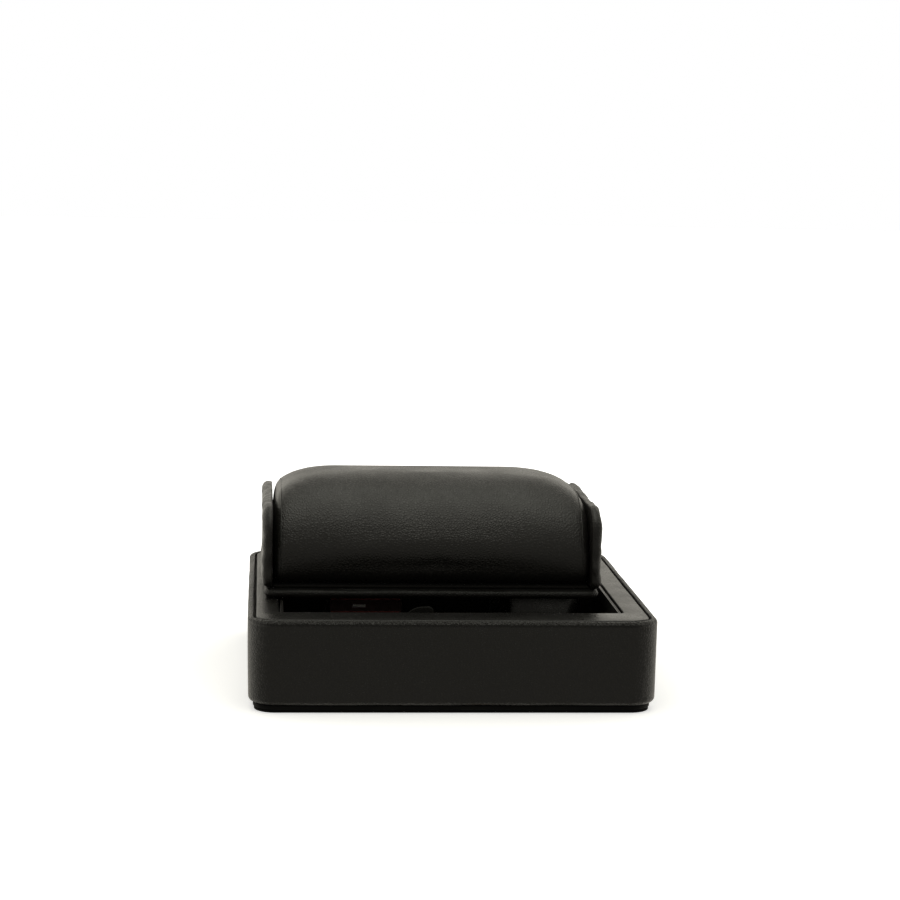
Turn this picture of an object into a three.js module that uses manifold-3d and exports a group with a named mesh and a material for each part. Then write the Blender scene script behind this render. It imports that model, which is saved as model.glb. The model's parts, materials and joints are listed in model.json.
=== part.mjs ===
// A leather watch and jewellery box with its cover off: a low square base with a lift-out tray,
// a cradle with two upright cheeks that lies on the tray, and a cushion that lifts out of the cradle.
// Millimetres. +X to the right, +Y to the back, +Z up. The origin is the middle of the underside.

import * as THREE from "three";
import Module from "manifold-3d";
import { mergeVertices } from "three/addons/utils/BufferGeometryUtils.js";

const wasm = await Module();
wasm.setup();

// Driving dimensions: material thicknesses and clearances
const LEATHER = 0.5; // skin that wraps every board
const GLUE = 0.1; // bond line between pieces that are glued together
const SLIP = 0.3; // air between pieces that lift apart
const PAST = 1; // how far a cutting solid runs past the face it cuts
const LEAST_ROUND = 0.5; // smallest rounding left where a skin's inner face turns a corner

// Driving dimensions: base
const BASE_WIDTH = 120;
const BASE_DEPTH = 120;
const BASE_CORNER = 8.5;
const FELT_THICKNESS = 0.8;
const PLINTH_THICKNESS = 1.6;
const PLINTH_INSET = 1.7;
const FELT_INSET = 0.3; // felt edge inside the plinth edge
const WALL_HEIGHT = 24.9; // leather shell, from the plinth to the top of the rim
const WALL_THICKNESS = 4.5; // with its outer leather
const RIM_THICKNESS = 1.8; // thin lip above the ledge, with leather on both faces
const RIM_ROLL = 0.8; // rounding of the leather over the rim
const TURN_UNDER = 9; // leather glued under the shell
const BOTTOM_THICKNESS = 3;

// Driving dimensions: tray
const GROOVE = 0.6; // open groove between rim and collar
const COLLAR_THICKNESS = 2.2; // with leather on top
const COLLAR_ROLL = 0.4;
const OPENING_SIDE_MARGIN = 9; // opening edge inside the base's side faces
const OPENING_END_MARGIN = 14.1; // opening edge inside the base's front and back faces
const OPENING_CORNER = 0.8;
const LINER_THICKNESS = 1.5;
const LINER_REVEAL = 0.6; // how far the liner shows inside the collar's opening
const LINING_THICKNESS = 0.6;
const RISER_WIDTH = 23;
const RISER_LEFT_GAP = 14.9; // from the recess's left wall to the left riser
const RISER_RIGHT_GAP = 7.9; // and from its right wall to the right riser
const RISER_FRONT_GAP = 29.9; // from the front edge of the opening to the risers
const TAB_WIDTH = 9;
const TAB_THICKNESS = 0.8;
const TAB_LENGTH = 14;
const TAB_PROUD = 1.5; // how far the tab stands above the collar
const TAB_X = -10;
const TAB_TOP_CORNER = 2.7;
const TAB_FOOT_CORNER = 0.5;
const LABEL_WIDTH = 22;
const LABEL_HEIGHT = 9;
const LABEL_THICKNESS = 0.3;
const LABEL_DROP = 2; // label's top edge below the riser's top

// Driving dimensions: cradle
const CRADLE_LEFT_MARGIN = 4; // where the loose cradle lies: left cheek inside the base's left face
const CRADLE_FRONT_MARGIN = 33.2; // and its front edge inside the base's front face
const CRADLE_WIDTH = 103.3; // over the outer faces of the cheeks
const CRADLE_DEPTH = 68;
const CRADLE_BOARD_THICKNESS = 2.3;
const CRADLE_BOARD_INSET = 0.8; // board end inside the outer face of a cheek
const CRADLE_BOARD_CORNER = 4;
const CRADLE_BOARD_ROLL = 0.9; // rounding of the leather round the board's edge
const CHEEK_THICKNESS = 3.2;
const CHEEK_HEIGHT = 24.8;
const CHEEK_FRONT_SETBACK = 2.2; // cheek front edge behind the board's front edge
const CHEEK_BACK_SETBACK = 0.8;
const CHEEK_TOP_CORNER = 8;
const CHEEK_BOTTOM_CORNER = 2.6;
const CHEEK_ROLL = 0.8; // rounding of the leather round the cheek's edge
const CRADLE_LINING_THICKNESS = 0.5;
const CRADLE_LINING_INSET = 2; // lining edge inside the cushion's front and the board's back edge

// Driving dimensions: cushion
const CUSHION_HEIGHT = 31.8;
const CUSHION_FRONT_SETBACK = 2.8; // cushion front behind the board's front edge
const CUSHION_BACK_SETBACK = 2.4;
const CUSHION_TOP_ROUND = 24;
const CUSHION_BOTTOM_ROUND = 5;
const CUSHION_END_ROUND = 4; // rounding of each end along the width
const CUSHION_COVER_THICKNESS = 1;
const END_PANEL_DEPTH = 2.5; // how far an end panel reaches in from its end
const STIFFENER_THICKNESS = 1.6;
const STIFFENER_INSET = 9;

// Levels and half sizes worked out from them
const halfWidth = BASE_WIDTH / 2;
const halfDepth = BASE_DEPTH / 2;
const shellBottom = FELT_THICKNESS + PLINTH_THICKNESS;
const rimTop = shellBottom + WALL_HEIGHT;
const ledgeTop = rimTop - COLLAR_THICKNESS - SLIP;
const collarInset = RIM_THICKNESS + GROOVE;
const bottomBoardTop = shellBottom + LEATHER + GLUE + BOTTOM_THICKNESS;
const floorBottom = bottomBoardTop + SLIP;
const floorTop = floorBottom + LINER_THICKNESS;
const liningTop = floorTop + GLUE + LINING_THICKNESS;
const openingHalfX = halfWidth - OPENING_SIDE_MARGIN;
const openingHalfY = halfDepth - OPENING_END_MARGIN;
const linerInnerX = openingHalfX - LINER_REVEAL;
const linerInnerY = openingHalfY - LINER_REVEAL;
const linerTop = rimTop - COLLAR_THICKNESS - GLUE;
const cradleX = CRADLE_LEFT_MARGIN + CRADLE_WIDTH / 2 - halfWidth;
const cradleFrontY = CRADLE_FRONT_MARGIN - halfDepth;
const boardBottom = rimTop + SLIP;
const boardTop = boardBottom + CRADLE_BOARD_THICKNESS;
const cheekInnerX = CRADLE_WIDTH / 2 - CHEEK_THICKNESS;
const cradleLiningTop = boardTop + GLUE + CRADLE_LINING_THICKNESS;
const cushionBottom = cradleLiningTop + SLIP;

const black = (roughness) => new THREE.MeshStandardMaterial({ color: 0x1f1e1c, roughness, metalness: 0 });
const leather = black(0.55);
const leatherDark = black(0.65);
const suede = new THREE.MeshStandardMaterial({ color: 0x121110, roughness: 0.95, metalness: 0 });
const felt = new THREE.MeshStandardMaterial({ color: 0x0d0d0d, roughness: 1, metalness: 0 });
const fibreboard = new THREE.MeshStandardMaterial({ color: 0x6b5135, roughness: 0.85, metalness: 0 });
const greyboard = new THREE.MeshStandardMaterial({ color: 0x77746d, roughness: 0.9, metalness: 0 });
const paintedBoard = new THREE.MeshStandardMaterial({ color: 0x0e0e0e, roughness: 0.6, metalness: 0 });
const foam = new THREE.MeshStandardMaterial({ color: 0x8d8a80, roughness: 1, metalness: 0 });
const redCloth = new THREE.MeshStandardMaterial({ color: 0x3a0d0e, roughness: 0.8, metalness: 0 });

// A rectangle with round corners, centred on the origin.
// radii are front-left, front-right, back-right, back-left.
function roundedRectangle(width, depth, radii) {
  const [fl, fr, br, bl] = Array.isArray(radii) ? radii : [radii, radii, radii, radii];
  const x = width / 2;
  const y = depth / 2;
  const quarter = Math.PI / 2;
  const shape = new THREE.Shape();
  shape.moveTo(-x + fl, -y);
  shape.lineTo(x - fr, -y);
  shape.absarc(x - fr, -y + fr, fr, -quarter, 0, false);
  shape.lineTo(x, y - br);
  shape.absarc(x - br, y - br, br, 0, quarter, false);
  shape.lineTo(-x + bl, y);
  shape.absarc(-x + bl, y - bl, bl, quarter, 2 * quarter, false);
  shape.lineTo(-x, -y + fl);
  shape.absarc(-x + fl, -y + fl, fl, 2 * quarter, 3 * quarter, false);
  return shape;
}

// An upright prism of a shape from one level to another, its edges rounded by roll.
function prism(shape, bottom, top, roll = 0, segments = 3) {
  const options = { depth: top - bottom - 2 * roll, curveSegments: segments, bevelEnabled: roll > 0 };
  if (roll > 0) {
    Object.assign(options, { bevelSize: roll, bevelThickness: roll, bevelOffset: -roll, bevelSegments: 2 });
  }
  const geometry = new THREE.ExtrudeGeometry(shape, options);
  return geometry.translate(0, 0, bottom + roll);
}

// A plain plate between two corners.
function plate([x0, y0, z0], [x1, y1, z1]) {
  const geometry = new THREE.BoxGeometry(x1 - x0, y1 - y0, z1 - z0);
  return geometry.translate((x0 + x1) / 2, (y0 + y1) / 2, (z0 + z1) / 2);
}

// A three.js geometry as a manifold-3d solid.
function solid(geometry) {
  const bare = geometry.index ? geometry.toNonIndexed() : geometry.clone();
  bare.deleteAttribute("normal");
  bare.deleteAttribute("uv");
  const merged = mergeVertices(bare, 1e-4);
  return new wasm.Manifold(
    new wasm.Mesh({
      numProp: 3,
      vertProperties: merged.attributes.position.array,
      triVerts: new Uint32Array(merged.index.array),
    }),
  );
}

// A manifold-3d solid as a three.js geometry.
function geometryOf(body) {
  const { numProp, numVert, vertProperties, triVerts } = body.getMesh();
  const positions = new Float32Array(numVert * 3);
  for (let i = 0; i < numVert; i++) {
    positions.set(vertProperties.subarray(i * numProp, i * numProp + 3), i * 3);
  }
  const geometry = new THREE.BufferGeometry();
  geometry.setAttribute("position", new THREE.BufferAttribute(positions, 3));
  geometry.setIndex(new THREE.BufferAttribute(new Uint32Array(triVerts), 1));
  const flat = geometry.toNonIndexed();
  flat.computeVertexNormals();
  return flat;
}

function piece(name, shape, material, parent) {
  const geometry = shape.isBufferGeometry ? shape : geometryOf(shape);
  const mesh = new THREE.Mesh(geometry, material);
  mesh.name = name;
  parent.add(mesh);
  return mesh;
}

// A prism whose outline is the base's own, moved in by inset.
function baseSlab(inset, bottom, top, roll = 0) {
  const corner = Math.max(BASE_CORNER - inset, LEAST_ROUND);
  const outline = roundedRectangle(BASE_WIDTH - 2 * inset, BASE_DEPTH - 2 * inset, corner);
  return solid(prism(outline, bottom, top, roll));
}

function makeBase() {
  const base = new THREE.Group();

  const wallOuter = LEATHER + GLUE;
  const wall = baseSlab(wallOuter, shellBottom + LEATHER + GLUE, ledgeTop)
    .subtract(baseSlab(WALL_THICKNESS, shellBottom, ledgeTop + PAST))
    .add(
      baseSlab(wallOuter, ledgeTop - PAST, rimTop - LEATHER - GLUE)
        .subtract(baseSlab(RIM_THICKNESS - LEATHER - GLUE, ledgeTop - 2 * PAST, rimTop + PAST)),
    );
  piece("wall_core", wall, fibreboard, base);

  // Leather over the wall: down the inside of the rim to the ledge, and turned under the shell.
  const skin = baseSlab(0, shellBottom, rimTop, RIM_ROLL)
    .subtract(baseSlab(LEATHER, shellBottom + LEATHER, ledgeTop + GLUE))
    .subtract(
      baseSlab(LEATHER, ledgeTop - PAST, rimTop - LEATHER)
        .subtract(baseSlab(RIM_THICKNESS - LEATHER, ledgeTop - 2 * PAST, rimTop + PAST)),
    )
    .subtract(baseSlab(RIM_THICKNESS, ledgeTop - PAST, rimTop + PAST))
    .subtract(baseSlab(TURN_UNDER, 0, shellBottom + 2 * LEATHER));
  piece("outer_leather", skin, leather, base);

  const bottomBoard = baseSlab(WALL_THICKNESS + GLUE, shellBottom + LEATHER + GLUE, bottomBoardTop);
  piece("bottom_board", bottomBoard, fibreboard, base);
  const plinth = baseSlab(PLINTH_INSET, FELT_THICKNESS + GLUE, shellBottom - GLUE);
  piece("plinth_board", plinth, paintedBoard, base);
  piece("felt_pad", baseSlab(PLINTH_INSET + FELT_INSET, 0, FELT_THICKNESS), felt, base);
  return base;
}

function openingSlab(inset, bottom, top) {
  const outline = roundedRectangle(
    2 * (openingHalfX - inset),
    2 * (openingHalfY - inset),
    Math.max(OPENING_CORNER - inset, LEAST_ROUND),
  );
  return solid(prism(outline, bottom, top, 0, 1));
}

function makeRiser(side, tray) {
  const name = side < 0 ? "left" : "right";
  const x0 = side < 0 ? -linerInnerX + RISER_LEFT_GAP : linerInnerX - RISER_RIGHT_GAP - RISER_WIDTH;
  const x1 = x0 + RISER_WIDTH;
  const y0 = -openingHalfY + RISER_FRONT_GAP;
  const y1 = linerInnerY - SLIP;
  const bottom = liningTop + GLUE;
  const inner = LEATHER + GLUE;
  const core = plate([x0 + inner, y0 + inner, bottom], [x1 - inner, y1 - inner, rimTop - inner]);
  piece(`riser_${name}_core`, core, fibreboard, tray);
  const cover = solid(plate([x0, y0, bottom], [x1, y1, rimTop]))
    .subtract(solid(plate(
      [x0 + LEATHER, y0 + LEATHER, bottom - PAST],
      [x1 - LEATHER, y1 - LEATHER, rimTop - LEATHER],
    )));
  piece(`riser_${name}_leather`, cover, leatherDark, tray);
  return { middle: (x0 + x1) / 2, y0 };
}

function makeTray() {
  const tray = new THREE.Group();
  const collarBottom = rimTop - COLLAR_THICKNESS;
  const skinned = LEATHER + GLUE;

  const board = baseSlab(collarInset + skinned, collarBottom, rimTop - skinned)
    .subtract(openingSlab(-skinned, collarBottom - PAST, rimTop));
  piece("collar_board", board, greyboard, tray);
  const wrap = baseSlab(collarInset, collarBottom - COLLAR_ROLL, rimTop, COLLAR_ROLL)
    .subtract(baseSlab(0, collarBottom - 2 * PAST, collarBottom))
    .subtract(openingSlab(0, collarBottom - PAST, rimTop + PAST))
    .subtract(
      baseSlab(collarInset + LEATHER, collarBottom - PAST, rimTop - LEATHER)
        .subtract(openingSlab(-LEATHER, collarBottom - 2 * PAST, rimTop)),
    );
  piece("collar_leather", wrap, leather, tray);

  const outerX = linerInnerX + LINER_THICKNESS;
  const outerY = linerInnerY + LINER_THICKNESS;
  const wallBottom = floorTop + GLUE;
  const sideY = linerInnerY - GLUE;
  piece("liner_front", plate([-outerX, -outerY, wallBottom], [outerX, -linerInnerY, linerTop]), suede, tray);
  piece("liner_back", plate([-outerX, linerInnerY, wallBottom], [outerX, outerY, linerTop]), suede, tray);
  piece("liner_left", plate([-outerX, -sideY, wallBottom], [-linerInnerX, sideY, linerTop]), suede, tray);
  piece("liner_right", plate([linerInnerX, -sideY, wallBottom], [outerX, sideY, linerTop]), suede, tray);
  piece("tray_floor", plate([-outerX, -outerY, floorBottom], [outerX, outerY, floorTop]), greyboard, tray);
  const padX = linerInnerX - GLUE;
  const padY = linerInnerY - GLUE;
  piece("floor_lining", plate([-padX, -padY, floorTop + GLUE], [padX, padY, liningTop]), suede, tray);

  const left = makeRiser(-1, tray);
  makeRiser(1, tray);
  const labelTop = rimTop - LABEL_DROP;
  const labelFace = left.y0 - GLUE;
  piece(
    "riser_label",
    plate(
      [left.middle - LABEL_WIDTH / 2, labelFace - LABEL_THICKNESS, labelTop - LABEL_HEIGHT],
      [left.middle + LABEL_WIDTH / 2, labelFace, labelTop],
    ),
    redCloth,
    tray,
  );

  const tabCorners = [TAB_FOOT_CORNER, TAB_FOOT_CORNER, TAB_TOP_CORNER, TAB_TOP_CORNER];
  const tabOutline = roundedRectangle(TAB_WIDTH, TAB_LENGTH, tabCorners);
  const tab = prism(tabOutline, 0, TAB_THICKNESS).rotateX(Math.PI / 2);
  const tabY = -linerInnerY + GLUE + TAB_THICKNESS;
  piece("pull_tab", tab, leather, tray).position.set(TAB_X, tabY, rimTop + TAB_PROUD - TAB_LENGTH / 2);
  return tray;
}

// The side outline of a cheek, drawn with depth along the shape's x and height along its y.
function cheekOutline(inset) {
  const depth = CRADLE_DEPTH - CHEEK_FRONT_SETBACK - CHEEK_BACK_SETBACK - 2 * inset;
  const topCorner = Math.max(CHEEK_TOP_CORNER - inset, LEAST_ROUND);
  const bottomCorner = Math.max(CHEEK_BOTTOM_CORNER - inset, LEAST_ROUND);
  const corners = [bottomCorner, bottomCorner, topCorner, topCorner];
  return roundedRectangle(depth, CHEEK_HEIGHT - 2 * inset, corners);
}

// Stands a prism drawn in side view upright, so that its outline lies in the YZ plane and it runs along +X.
function inSideView(geometry) {
  return geometry.rotateX(Math.PI / 2).rotateZ(Math.PI / 2);
}

function makeCheek(side, cradle) {
  const name = side < 0 ? "left" : "right";
  const middle = new THREE.Vector3(
    side * (CRADLE_WIDTH / 2 - CHEEK_THICKNESS / 2),
    CHEEK_FRONT_SETBACK + (CRADLE_DEPTH - CHEEK_FRONT_SETBACK - CHEEK_BACK_SETBACK) / 2,
    boardTop + GLUE + CHEEK_HEIGHT / 2,
  );
  const halfThickness = CHEEK_THICKNESS / 2;
  const skinned = LEATHER + GLUE;
  const coreHalf = halfThickness - skinned;
  const core = inSideView(prism(cheekOutline(skinned), -coreHalf, coreHalf));
  piece(`cheek_${name}_board`, core, greyboard, cradle).position.copy(middle);

  // The leather is open at the foot, where the board is glued down.
  const footZ = -CHEEK_HEIGHT / 2;
  const cutHalf = CRADLE_DEPTH / 2 - CHEEK_FRONT_SETBACK - CHEEK_BOTTOM_CORNER;
  const cavityHalf = halfThickness - LEATHER;
  const foot = plate([-cavityHalf, -cutHalf, footZ - PAST], [cavityHalf, cutHalf, footZ + 2 * LEATHER]);
  const cover = solid(inSideView(prism(cheekOutline(0), -halfThickness, halfThickness, CHEEK_ROLL)))
    .subtract(solid(inSideView(prism(cheekOutline(LEATHER), -cavityHalf, cavityHalf))))
    .subtract(solid(foot));
  piece(`cheek_${name}_leather`, cover, leather, cradle).position.copy(middle);
}

function makeCradle() {
  const cradle = new THREE.Group();
  cradle.position.set(cradleX, cradleFrontY, 0);
  const width = CRADLE_WIDTH - 2 * CRADLE_BOARD_INSET;
  const depth = CRADLE_DEPTH;
  const middleY = depth / 2;
  const skinned = LEATHER + GLUE;

  const boardSlab = (inset, bottom, top, roll = 0) => {
    const outline = roundedRectangle(width - 2 * inset, depth - 2 * inset, CRADLE_BOARD_CORNER - inset);
    return solid(prism(outline, bottom, top, roll).translate(0, middleY, 0));
  };
  piece("cradle_board", boardSlab(skinned, boardBottom + skinned, boardTop - skinned), greyboard, cradle);
  const windowX = width / 2 - CRADLE_BOARD_CORNER - 2 * LEATHER;
  const windowY = depth / 2 - CRADLE_BOARD_CORNER - 2 * LEATHER;
  const wrap = boardSlab(0, boardBottom, boardTop, CRADLE_BOARD_ROLL)
    .subtract(boardSlab(LEATHER, boardBottom + LEATHER, boardTop - LEATHER))
    .subtract(solid(plate(
      [-windowX, middleY - windowY, boardBottom - PAST],
      [windowX, middleY + windowY, boardBottom + 2 * LEATHER],
    )));
  piece("cradle_leather", wrap, leather, cradle);
  const liningX = cheekInnerX - SLIP;
  piece(
    "cradle_lining",
    plate(
      [-liningX, CUSHION_FRONT_SETBACK + CRADLE_LINING_INSET, boardTop + GLUE],
      [liningX, depth - CRADLE_LINING_INSET, cradleLiningTop],
    ),
    suede,
    cradle,
  );
  makeCheek(-1, cradle);
  makeCheek(1, cradle);
  return cradle;
}

// The cushion's side outline: a broad crown over a smaller rounding at the bottom.
function cushionOutline(inset) {
  const depth = CRADLE_DEPTH - CUSHION_FRONT_SETBACK - CUSHION_BACK_SETBACK - 2 * inset;
  const top = CUSHION_TOP_ROUND - inset;
  const bottom = CUSHION_BOTTOM_ROUND - inset;
  return roundedRectangle(depth, CUSHION_HEIGHT - 2 * inset, [bottom, bottom, top, top]);
}

function cushionBody(inset) {
  const half = cheekInnerX - SLIP - inset;
  const roll = Math.min(CUSHION_END_ROUND, CUSHION_BOTTOM_ROUND - LEAST_ROUND) - inset;
  return solid(inSideView(prism(cushionOutline(inset), -half, half, roll, 4)));
}

function makeCushion() {
  const cushion = new THREE.Group();
  const depth = CRADLE_DEPTH - CUSHION_FRONT_SETBACK - CUSHION_BACK_SETBACK;
  const middleY = cradleFrontY + CUSHION_FRONT_SETBACK + depth / 2;
  cushion.position.set(cradleX, middleY, cushionBottom + CUSHION_HEIGHT / 2);

  const half = cheekInnerX - SLIP;
  const far = CRADLE_WIDTH;
  const band = (x0, x1) => solid(plate([x0, -far, -far], [x1, far, far]));
  const shell = cushionBody(0).subtract(cushionBody(CUSHION_COVER_THICKNESS));
  const seam = half - END_PANEL_DEPTH;
  piece("cushion_cover", shell.intersect(band(-seam, seam)), leather, cushion);
  piece("cushion_end_left", shell.intersect(band(-far, -seam - SLIP)), leather, cushion);
  piece("cushion_end_right", shell.intersect(band(seam + SLIP, far)), leather, cushion);

  const fill = CUSHION_COVER_THICKNESS + GLUE;
  const stiffX = half - STIFFENER_INSET;
  const stiffY = depth / 2 - STIFFENER_INSET;
  const stiffBottom = -CUSHION_HEIGHT / 2 + fill;
  const stiffTop = stiffBottom + STIFFENER_THICKNESS;
  const stiffener = plate([-stiffX, -stiffY, stiffBottom], [stiffX, stiffY, stiffTop]);
  piece("cushion_stiffener", stiffener, greyboard, cushion);
  const pocket = plate(
    [-stiffX - GLUE, -stiffY - GLUE, stiffBottom - PAST],
    [stiffX + GLUE, stiffY + GLUE, stiffTop + GLUE],
  );
  piece("cushion_foam", cushionBody(fill).subtract(solid(pocket)), foam, cushion);
  return cushion;
}

const box = new THREE.Group();
box.add(makeBase(), makeTray(), makeCradle(), makeCushion());
export default box;
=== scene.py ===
import json
import math

import bmesh
import bpy
from mathutils import Matrix, Vector, noise


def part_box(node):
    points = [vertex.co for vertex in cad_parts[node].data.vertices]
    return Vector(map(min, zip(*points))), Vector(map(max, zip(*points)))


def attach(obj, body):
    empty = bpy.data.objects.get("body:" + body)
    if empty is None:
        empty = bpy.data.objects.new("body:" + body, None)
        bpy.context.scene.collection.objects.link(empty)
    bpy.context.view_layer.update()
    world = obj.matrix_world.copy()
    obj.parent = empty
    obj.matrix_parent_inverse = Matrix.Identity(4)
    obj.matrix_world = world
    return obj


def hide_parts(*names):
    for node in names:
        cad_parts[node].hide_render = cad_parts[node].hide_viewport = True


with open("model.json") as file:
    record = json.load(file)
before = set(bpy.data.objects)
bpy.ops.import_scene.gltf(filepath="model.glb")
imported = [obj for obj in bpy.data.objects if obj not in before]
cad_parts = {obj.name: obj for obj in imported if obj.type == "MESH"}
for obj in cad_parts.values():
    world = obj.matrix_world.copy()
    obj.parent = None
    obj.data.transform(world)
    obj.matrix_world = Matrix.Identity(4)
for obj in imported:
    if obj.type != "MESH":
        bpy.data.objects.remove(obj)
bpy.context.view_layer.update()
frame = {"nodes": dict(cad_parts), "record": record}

MM = 0.001

# ---------------------------------------------------------------- camera, floor and light

FOCAL_MM = 93.53          # on a 36 mm sensor
CAMERA_PLACE = (-56.78 * MM, -720.02 * MM, 163.40 * MM)
CAMERA_YAW = 4.676        # degrees to the right of +Y
CAMERA_PITCH = 7.402      # degrees down
CAMERA_ROLL = 1.14

ROOM_TINT = (1.0, 0.96, 0.85, 1)
ROOM_DIM = 0.29            # glow of the room in front and high up
ROOM_BAND = 1.05           # glow of the pale wall low behind the box
BAND_FACING = (-0.25, 0.50) # the share of +Y at which that wall starts, and is full
BAND_HEIGHT = (0.48, 0.64) # the share of +Z at which it fades, and is gone

SOFTBOX_PLACE = (0.0, -0.10, 0.95)
SOFTBOX_SIZE = (0.9, 1.2)
SOFTBOX_POWER = 4.9
SOFTBOX_COLOUR = (1.0, 0.995, 0.88)

FLOOR_REACH = 4.2            # half the floor's width in metres; its corners stay inside the backdrop
FLOOR_DROP = 0.02 * MM       # how far the floor lies under the foot
FLOOR_GLOW = (0.55, 1.2)     # near the box and further out
FLOOR_GLOW_REACH = (0.07, 0.16)   # the distances between which it changes
BACKDROP_RADIUS = 6.2

ARC_STEPS = 10               # steps of each round corner of an outline
BAND_SCALE = 0.31            # a wave texture repeats every 0.31 / scale
BLOW_STEPS = 20              # steps of the cloth simulation


def make_camera():
    yaw = math.radians(CAMERA_YAW)
    pitch = math.radians(CAMERA_PITCH)
    roll = math.radians(CAMERA_ROLL)
    right = Vector((math.cos(yaw), -math.sin(yaw), 0))
    forward = Vector((math.sin(yaw) * math.cos(pitch), math.cos(yaw) * math.cos(pitch), -math.sin(pitch)))
    up = right.cross(forward)
    turned_right = math.cos(roll) * right + math.sin(roll) * up
    turned_up = math.cos(roll) * up - math.sin(roll) * right
    matrix = Matrix((turned_right, turned_up, -forward)).transposed().to_4x4()
    matrix.translation = Vector(CAMERA_PLACE)
    data = bpy.data.cameras.new("camera")
    data.lens = FOCAL_MM
    data.sensor_width = 36
    data.clip_start = 0.01
    camera = bpy.data.objects.new("camera", data)
    camera.matrix_world = matrix
    bpy.context.scene.collection.objects.link(camera)
    bpy.context.scene.camera = camera


def area_light(name, place, target, size, power, colour):
    data = bpy.data.lights.new(name, "AREA")
    data.shape = "RECTANGLE"
    data.size = size[0]
    data.size_y = size[1]
    data.energy = power
    data.color = colour
    light = bpy.data.objects.new(name, data)
    light.location = place
    light.rotation_euler = (Vector(target) - Vector(place)).to_track_quat("-Z", "Y").to_euler()
    light.visible_camera = False
    bpy.context.scene.collection.objects.link(light)


def make_world():
    """A dim room with a pale wall low behind the box."""
    world = bpy.data.worlds.new("studio")
    world.use_nodes = True
    tree = world.node_tree
    background = tree.nodes["Background"]
    background.inputs["Color"].default_value = ROOM_TINT
    direction = tree.nodes.new("ShaderNodeTexCoord")
    split = tree.nodes.new("ShaderNodeSeparateXYZ")
    tree.links.new(direction.outputs["Generated"], split.inputs["Vector"])
    parts = []
    for axis, limits in (("Y", (*BAND_FACING, 0, 1)), ("Z", (*BAND_HEIGHT, 1, 0))):
        part = tree.nodes.new("ShaderNodeMapRange")
        part.interpolation_type = "SMOOTHSTEP"
        for socket, value in zip(("From Min", "From Max", "To Min", "To Max"), limits):
            part.inputs[socket].default_value = value
        tree.links.new(split.outputs[axis], part.inputs["Value"])
        parts.append(part.outputs["Result"])
    band = tree.nodes.new("ShaderNodeMath")
    band.operation = "MULTIPLY"
    tree.links.new(parts[0], band.inputs[0])
    tree.links.new(parts[1], band.inputs[1])
    glow = tree.nodes.new("ShaderNodeMath")
    glow.operation = "MULTIPLY_ADD"
    glow.inputs[1].default_value = ROOM_BAND - ROOM_DIM
    glow.inputs[2].default_value = ROOM_DIM
    tree.links.new(band.outputs[0], glow.inputs[0])
    tree.links.new(glow.outputs[0], background.inputs["Strength"])
    bpy.context.scene.world = world


def make_studio():
    make_world()
    bpy.context.scene.view_settings.view_transform = "Standard"
    below = (SOFTBOX_PLACE[0], SOFTBOX_PLACE[1], 0)
    area_light("softbox", SOFTBOX_PLACE, below, SOFTBOX_SIZE, SOFTBOX_POWER, SOFTBOX_COLOUR)


def glowing(name, colour, near, far):
    """A plain surface that glows by near close to the box and by far further out."""
    nodes = Nodes(name)
    reach = nodes.add("ShaderNodeVectorMath", operation="LENGTH")
    nodes.link(nodes.place, reach.inputs[0])
    glow = nodes.ramp(reach.outputs["Value"], *FLOOR_GLOW_REACH, near, far)
    nodes.link(glow, nodes.shader.inputs["Emission Strength"])
    nodes.shader.inputs["Emission Color"].default_value = (1, 1, 1, 1)
    nodes.shader.inputs["Base Color"].default_value = (colour, colour, colour, 1)
    nodes.shader.inputs["Roughness"].default_value = 1
    nodes.shader.inputs["Specular IOR Level"].default_value = 0
    return nodes.material


def make_floor():
    side = FLOOR_REACH
    mesh = bpy.data.meshes.new("floor")
    corners = [(-side, -side, 0), (side, -side, 0), (side, side, 0), (-side, side, 0)]
    mesh.from_pydata(corners, [], [(0, 1, 2, 3)])
    floor = bpy.data.objects.new("floor", mesh)
    bpy.context.scene.collection.objects.link(floor)
    mesh.materials.append(glowing("floor_white", 0.8, *FLOOR_GLOW))
    floor.location.z = -FLOOR_DROP
    floor.visible_glossy = False
    floor.visible_diffuse = False


def make_backdrop():
    """A white sheet all round, which only the camera sees."""
    mesh = bpy.data.meshes.new("backdrop")
    tools = bmesh.new()
    bmesh.ops.create_icosphere(tools, subdivisions=4, radius=BACKDROP_RADIUS)
    bmesh.ops.reverse_faces(tools, faces=tools.faces)
    tools.to_mesh(mesh)
    tools.free()
    backdrop = bpy.data.objects.new("backdrop", mesh)
    bpy.context.scene.collection.objects.link(backdrop)
    mesh.materials.append(glowing("backdrop_white", colour=0.0, near=1.0, far=1.0))
    backdrop.visible_glossy = False
    backdrop.visible_diffuse = False
    backdrop.visible_shadow = False


# ---------------------------------------------------------------- materials

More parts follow.
